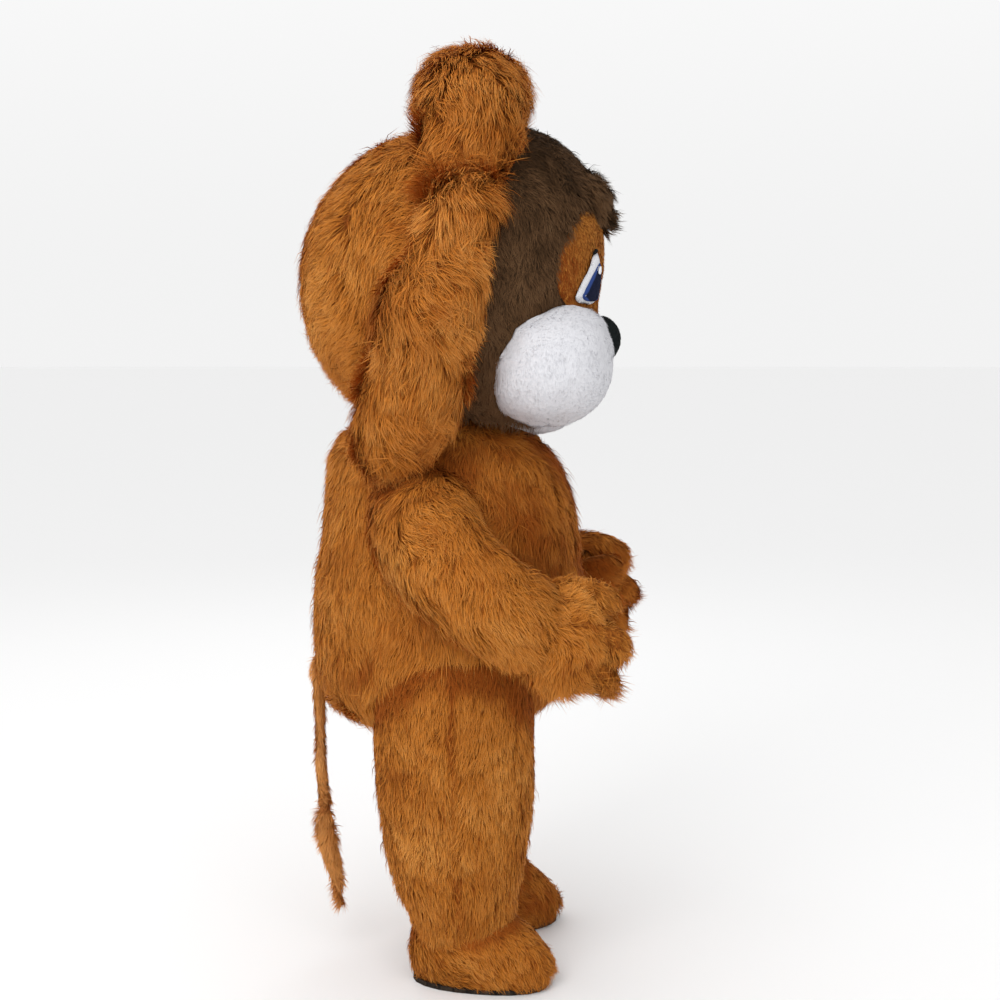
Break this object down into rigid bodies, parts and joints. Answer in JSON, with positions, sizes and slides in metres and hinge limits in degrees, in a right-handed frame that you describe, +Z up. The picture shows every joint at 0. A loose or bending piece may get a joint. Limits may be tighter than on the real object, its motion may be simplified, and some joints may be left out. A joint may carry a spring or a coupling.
{
  "type": "lion mascot costume",
  "caption": "Full-body plush lion costume, hollow and open: fur head with padded mane, suit, mitts, foot covers and tail.",
  "frame": {"origin": "between the wearer's shoulders, 1.166 m above the ground that the foot covers stand on, where the suit and the head are carried", "axes": "+Z up, the lion faces +X, its right side is at -Y"},
  "size_m": [0.7597, 0.9734, 1.9882],
  "materials": {
    "ginger_fur": "long pile faux fur",
    "mane_fur": "long pile faux fur, shaggy",
    "brown_fur": "short pile faux fur",
    "orange_fur": "short pile faux fur",
    "white_plush": "short plush",
    "black_plush": "short plush",
    "navy_felt": "felt",
    "sole_rubber": "matt rubber sole sheet"
  },
  "bodies": {
    "root": {"body_front": "ginger_fur", "body_back": "ginger_fur", "sleeve_right": "ginger_fur", "sleeve_left": "ginger_fur", "mitt_right": "ginger_fur", "mitt_left": "ginger_fur", "leg_front_right": "ginger_fur", "leg_back_right": "ginger_fur", "leg_front_left": "ginger_fur", "leg_back_left": "ginger_fur", "foot_right": "ginger_fur", "foot_left": "ginger_fur", "sole_right": "sole_rubber", "sole_left": "sole_rubber", "tail": "ginger_fur", "tail_tuft": "mane_fur", "head_back": "ginger_fur", "head_face": "brown_fur", "face_plate": "orange_fur", "forelock": "brown_fur", "muzzle": "white_plush", "lower_jaw": "white_plush", "nose": "black_plush", "eye_white_right": "white_plush", "eye_white_left": "white_plush", "eye_iris_right": "navy_felt", "eye_iris_left": "navy_felt", "eye_glint_right": "white_plush", "eye_glint_left": "white_plush", "eye_lash_right": "black_plush", "eye_lash_left": "black_plush", "mane_crown": "mane_fur", "mane_right": "mane_fur", "mane_left": "mane_fur"}
  },
  "joints": []
}
